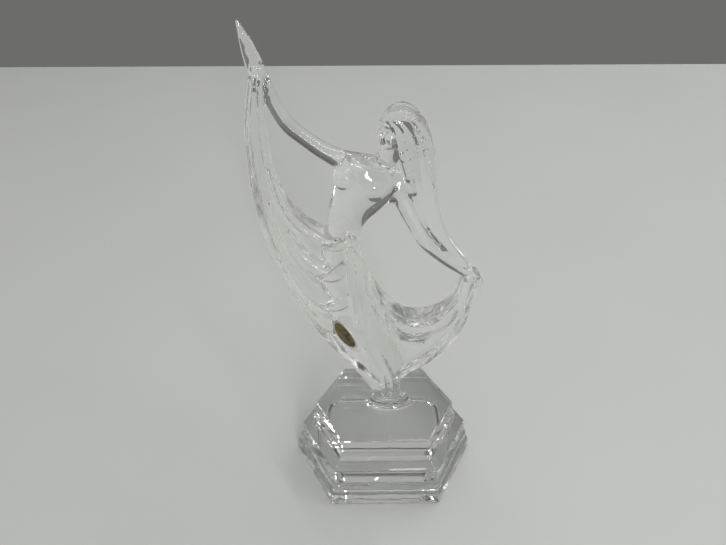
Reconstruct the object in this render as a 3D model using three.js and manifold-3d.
// A clear crystal statuette: a dancer holding out a long robe, on a stepped hexagonal plinth.
// Millimetres, +Z up. The origin is the middle of the plinth's underside, and the dancer faces -Y.
import * as THREE from "three";
import { mergeVertices } from "three/addons/utils/BufferGeometryUtils.js";
import Module from "manifold-3d";

const wasm = await Module();
wasm.setup();

// ---- Driving dimensions ----
const PLINTH_WIDTH = 119; // corner to corner, along X
const PLINTH_DEPTH = 87; // flat to flat, along Y
const PLINTH_HEIGHT = 47;
const FOOT_X = 2.9; // the figure's foot stands this far to the right of the plinth's middle
const FOOT_HALF_WIDTH = 15.5;
const FOOT_HALF_DEPTH = 8;
const BOND_THICKNESS = 0.3; // cured adhesive between the two castings
const FOOT_BOTTOM = PLINTH_HEIGHT + BOND_THICKNESS;
const LABEL_LENGTH = 20;
const LABEL_WIDTH = 10.5;
const LABEL_THICKNESS = 0.2;
const LABEL_GAP = 0.05; // between the foil's back and the flat it is stuck on
const LABEL_PLACE = new THREE.Vector3(-23.4, -9.6, 117.5);
const LABEL_NORMAL = new THREE.Vector3(-0.42, -0.9, 0.05).normalize();
const LABEL_ALONG = new THREE.Vector3(0.66, -0.3, -0.7); // the long axis follows the robe's edge

// Each step of the plinth: how far it is set in from the bottom outline, and its height.
const PLINTH_STEPS = [
  [0.8, 0],
  [0, 0.8],
  [0.6, 9.2],
  [2.2, 10],
  [2.6, 16.6],
  [3.9, 17.4],
  [4.4, 27.2],
  [5.2, 28],
  [9.6, 30.6],
  [10.4, 31.4],
  [10.8, 35.2],
  [12.2, 38.4],
  [13, 46.4],
  [13.6, PLINTH_HEIGHT],
];

// ---- Helpers ----
const glass = new THREE.MeshStandardMaterial({ color: 0xe9edea, roughness: 0.04, metalness: 0 });
const adhesive = new THREE.MeshStandardMaterial({ color: 0xe4e6de, roughness: 0.1, metalness: 0 });
const foil = new THREE.MeshStandardMaterial({ color: 0x7a6a45, roughness: 0.35, metalness: 0.8 });

function solidOf(geometry) {
  const bare = geometry.clone();
  bare.deleteAttribute("normal");
  bare.deleteAttribute("uv");
  const merged = mergeVertices(bare, 1e-4);
  return new wasm.Manifold(
    new wasm.Mesh({
      numProp: 3,
      vertProperties: merged.attributes.position.array,
      triVerts: new Uint32Array(merged.index.array),
    }),
  );
}

function geometryOf(solid) {
  const mesh = solid.getMesh();
  const places = new Float32Array(mesh.numVert * 3);
  for (let i = 0; i < mesh.numVert; i++) {
    places.set(mesh.vertProperties.subarray(i * mesh.numProp, i * mesh.numProp + 3), i * 3);
  }
  const geometry = new THREE.BufferGeometry();
  geometry.setAttribute("position", new THREE.BufferAttribute(places, 3));
  geometry.setIndex(new THREE.BufferAttribute(mesh.triVerts, 1));
  geometry.computeVertexNormals();
  return geometry;
}

function smoothLine(points) {
  return new THREE.CatmullRomCurve3(points, false, "centripetal");
}

// Moves every vertex of a closed cylinder: place(along, across, deep) gets a station from 0 to 1 and
// a point of the unit disc, and returns the point in space.
function shapedCylinder(sides, stations, place) {
  const geometry = new THREE.CylinderGeometry(1, 1, 1, sides, stations);
  const position = geometry.attributes.position;
  for (let i = 0; i < position.count; i++) {
    const point = place(position.getY(i) + 0.5, position.getX(i), position.getZ(i));
    position.setXYZ(i, point.x, point.y, point.z);
  }
  return solidOf(geometry);
}

// A limb that lies near the XZ plane, from rows of [x, z, y, half width in the plane, half depth].
function limb(rows, sides, stations) {
  const spine = smoothLine(rows.map(([x, z, y]) => new THREE.Vector3(x, y, z)));
  const girth = smoothLine(rows.map(([, , , wide, deep], i) => new THREE.Vector3(wide, deep, i)));
  return shapedCylinder(sides, stations, (along, across, deep) => {
    const centre = spine.getPoint(along);
    const tangent = spine.getTangent(along);
    const size = girth.getPoint(along);
    const normal = new THREE.Vector3(-tangent.z, 0, tangent.x).normalize();
    return centre
      .addScaledVector(normal, across * size.x)
      .add(new THREE.Vector3(0, deep * size.y, 0));
  });
}

// A fan of cloth between two edges, each a list of [x, z]: going from their first point to their
// last, the second edge lies on the right when the fan is seen from behind. depths is its half
// thickness from one end to the other, and folds is how many ridges run along it.
function drape(firstEdge, secondEdge, depths, folds, sides, stations) {
  const firstLine = smoothLine(firstEdge.map(([x, z]) => new THREE.Vector3(x, 0, z)));
  const secondLine = smoothLine(secondEdge.map(([x, z]) => new THREE.Vector3(x, 0, z)));
  const depthLine = smoothLine(depths.map((deep, i) => new THREE.Vector3(deep, i, 0)));
  const squared = (value) => Math.sign(value) * Math.sqrt(Math.abs(value));
  return shapedCylinder(sides, stations, (along, across, deep) => {
    const share = 0.5 + 0.5 * squared(across);
    const half = depthLine.getPoint(along).x;
    const ridge = 0.1 * half * Math.cos(2 * Math.PI * folds * share) * Math.abs(deep);
    const flat = firstLine.getPoint(along).lerp(secondLine.getPoint(along), share);
    return flat.add(new THREE.Vector3(0, squared(deep) * half + Math.sign(deep) * ridge, 0));
  });
}

function ball(x, y, z, wide, deep, high, tilt = 0) {
  const geometry = new THREE.SphereGeometry(1, 16, 12);
  geometry.scale(wide, deep, high);
  geometry.rotateY(tilt);
  geometry.translate(x, y, z);
  return solidOf(geometry);
}

// ---- The plinth ----
function hexagon(inset) {
  const side = Math.tan(Math.PI / 6);
  const halfDepth = PLINTH_DEPTH / 2 - inset;
  const halfWidth = PLINTH_WIDTH / 2 - inset / Math.cos(Math.PI / 6);
  const halfFront = halfWidth - halfDepth * side;
  return [
    [halfWidth, 0],
    [halfFront, halfDepth],
    [-halfFront, halfDepth],
    [-halfWidth, 0],
    [-halfFront, -halfDepth],
    [halfFront, -halfDepth],
  ];
}

function plinthSolid() {
  const corners = 6;
  const last = PLINTH_STEPS.length - 1;
  const geometry = new THREE.CylinderGeometry(1, 1, last, corners, last);
  const position = geometry.attributes.position;
  for (let i = 0; i < position.count; i++) {
    const x = position.getX(i);
    const z = position.getZ(i);
    const [inset, height] = PLINTH_STEPS[Math.round(position.getY(i) + last / 2)];
    if (Math.hypot(x, z) < 0.5) {
      position.setXYZ(i, 0, 0, height);
      continue;
    }
    const turn = Math.round((Math.atan2(x, z) / (2 * Math.PI)) * corners + corners) % corners;
    const [cornerX, cornerY] = hexagon(inset)[turn];
    position.setXYZ(i, cornerX, cornerY, height);
  }
  return solidOf(geometry);
}

// ---- The dancer ----
// Foot, robe, hips, waist and chest, from the bottom up.
const BODY = [
  [FOOT_X, FOOT_BOTTOM - 2, 0, FOOT_HALF_WIDTH, FOOT_HALF_DEPTH],
  [FOOT_X, 51, 0, FOOT_HALF_WIDTH, FOOT_HALF_DEPTH],
  [1.5, 56, 0, 11, 7],
  [-1, 64, 0, 9, 7],
  [-1.5, 72, 0, 12, 8],
  [-2, 80, 0, 16, 9],
  [-5, 92, 0, 17, 10],
  [-9, 105, 0, 17, 11],
  [-14, 120, 0, 16, 11.5],
  [-18.5, 135, 0, 15, 12],
  [-21.5, 150, 0, 13, 12],
  [-23, 162, 0, 12, 11.5],
  [-24, 172, 0, 9.6, 9.5],
  [-23.5, 181, 0, 8.6, 8.6],
  [-21, 191, 0, 10.5, 9.4],
  [-16, 201, 0, 13.5, 10],
  [-11, 210, 0, 16, 9],
  [-8, 217, 0, 12, 6],
];
const SHOULDERS = [
  [-27, 219, 0, 4.2, 5],
  [-20, 216.5, 0, 5.5, 6.5],
  [-7, 213, 0, 6.5, 7],
  [5, 207, 0, 6.5, 6.5],
  [12, 201, 0, 4, 5],
];
const NECK = [
  [-7, 213, 0, 6, 5.5],
  [-3, 220, 0, 4.6, 4.6],
  [1, 228, 0, 4.4, 4.6],
];
const RAISED_ARM = [
  [-20, 217.5, 0, 5, 5.2],
  [-30, 222, 0, 4.3, 4.8],
  [-40, 228.5, 0, 3.9, 4.4],
  [-48, 236, 0, 4.1, 4.4],
  [-54, 245, 0, 3.8, 4.2],
  [-58, 255, 0, 3.4, 4],
];
const RAISED_HAND = [
  [-58, 254, 0, 3.4, 4],
  [-60, 263, 0, 3.5, 3.4],
  [-62, 271, 0, 2.6, 2.4],
  [-64.6, 279.5, 0, 0.7, 0.9],
];
const LOWERED_ARM = [
  [4, 205, 0, 5.5, 6],
  [8.5, 194, 0, 5, 5.4],
  [13.5, 183, 0, 4.6, 5],
  [19, 173, 0, 4.3, 4.8],
  [28, 165, 0, 4, 4.6],
  [37, 157.5, 0, 3.7, 4.4],
  [44, 151, 0, 3.8, 4.6],
];
const NAPE = [
  [3, 234, 2, 6, 6],
  [6.5, 222, 2, 7.5, 6],
  [8, 207, 1, 7, 5],
];
const HAIR = [
  [1, 240, 1, 4.5, 6.5],
  [8.5, 236.5, 1.5, 6.4, 7.5],
  [13, 225, 2, 6.4, 7],
  [15.5, 210, 2, 6, 6],
  [18.5, 195, 1.5, 6, 6],
  [23.5, 181, 1, 5.4, 6],
  [32, 169, 0, 4.6, 5.6],
  [42, 157, 0, 4, 5],
  [46.5, 147, 0, 2, 4.5],
];
// The robe held out by the raised hand, and by the lowered one.
const LEFT_INNER = [
  [-56.5, 258],
  [-58.5, 244],
  [-58.7, 228],
  [-58.2, 213],
  [-54.5, 199.5],
  [-47.5, 187],
  [-38, 181],
  [-26, 177],
  [-15, 168],
];
const LEFT_OUTER = [
  [-63, 258],
  [-66, 242],
  [-67.2, 222],
  [-66.8, 202],
  [-62.5, 174],
  [-54, 148],
  [-41, 124],
  [-28, 101],
  [-14, 72],
];
const RIGHT_INNER = [
  [39, 149],
  [36.5, 138],
  [29.5, 129],
  [19, 124],
  [7.5, 124.5],
  [-4, 134],
  [-12, 147],
  [-16, 160],
  [-22, 172],
];
const RIGHT_OUTER = [
  [48, 152],
  [47, 137],
  [44, 121],
  [36.5, 106],
  [26, 94],
  [16, 84.5],
  [8, 76],
  [2, 68],
  [-4, 66],
];

function figureSolid() {
  const pieces = [
    limb(BODY, 20, 38),
    limb(SHOULDERS, 14, 8),
    limb(NECK, 12, 3),
    limb(RAISED_ARM, 12, 10),
    limb(RAISED_HAND, 10, 6),
    limb(LOWERED_ARM, 12, 12),
    limb(NAPE, 12, 5),
    limb(HAIR, 14, 18),
    drape(LEFT_OUTER, LEFT_INNER, [4, 5.5, 6.5, 7.5, 8.5, 9, 9, 8.5, 6.5], 3, 24, 22),
    drape(RIGHT_INNER, RIGHT_OUTER, [4.2, 5.5, 7.5, 8.5, 9, 9, 9, 8.5, 6.5], 3, 24, 22),
    ball(1.5, 0, 233.5, 8.8, 8.5, 11.6, 0.35),
    ball(-23, -6, 212, 5.6, 6, 5.6),
    ball(-10, -6.5, 207, 5.8, 6, 5.8),
  ];
  return pieces.reduce((all, piece) => all.add(piece));
}

// ---- The label, and the flat on the robe that it is stuck to ----
function labelFrame() {
  const along = LABEL_ALONG.clone().projectOnPlane(LABEL_NORMAL).normalize();
  const across = new THREE.Vector3().crossVectors(LABEL_NORMAL, along);
  return new THREE.Matrix4()
    .makeBasis(along, across, LABEL_NORMAL)
    .setPosition(LABEL_PLACE);
}

function oval(length, width, thickness, sides) {
  const shape = new THREE.Shape().absellipse(0, 0, length / 2, width / 2, 0, 2 * Math.PI);
  return new THREE.ExtrudeGeometry(shape, {
    depth: thickness,
    bevelEnabled: false,
    curveSegments: sides,
  });
}

const LAND_MARGIN = 1.2;
const LAND_CUT = 12; // how far out from the flat the cutter reaches
const land = oval(LABEL_LENGTH + LAND_MARGIN, LABEL_WIDTH + LAND_MARGIN, LAND_CUT, 24);
land.applyMatrix4(labelFrame());
const underFoot = new THREE.BoxGeometry(100, 100, 20);
underFoot.translate(0, 0, FOOT_BOTTOM - 10);
const figureBody = figureSolid().subtract(solidOf(land)).subtract(solidOf(underFoot));

// ---- Assembly ----
const statuette = new THREE.Group();

function add(name, geometry, material) {
  const mesh = new THREE.Mesh(geometry, material);
  mesh.name = name;
  statuette.add(mesh);
  return mesh;
}

add("plinth", geometryOf(plinthSolid()), glass);
add("dancer_casting", geometryOf(figureBody), glass);

const film = new THREE.CylinderGeometry(1, 1, BOND_THICKNESS, 40);
film.rotateX(Math.PI / 2);
film.scale(FOOT_HALF_WIDTH - 0.4, FOOT_HALF_DEPTH - 0.4, 1);
const bond = add("bond_film", film, adhesive);
bond.position.set(FOOT_X, 0, PLINTH_HEIGHT + BOND_THICKNESS / 2);

const label = add("maker_label", oval(LABEL_LENGTH, LABEL_WIDTH, LABEL_THICKNESS, 24), foil);
label.applyMatrix4(labelFrame());
label.position.addScaledVector(LABEL_NORMAL, LABEL_GAP);

export default statuette;
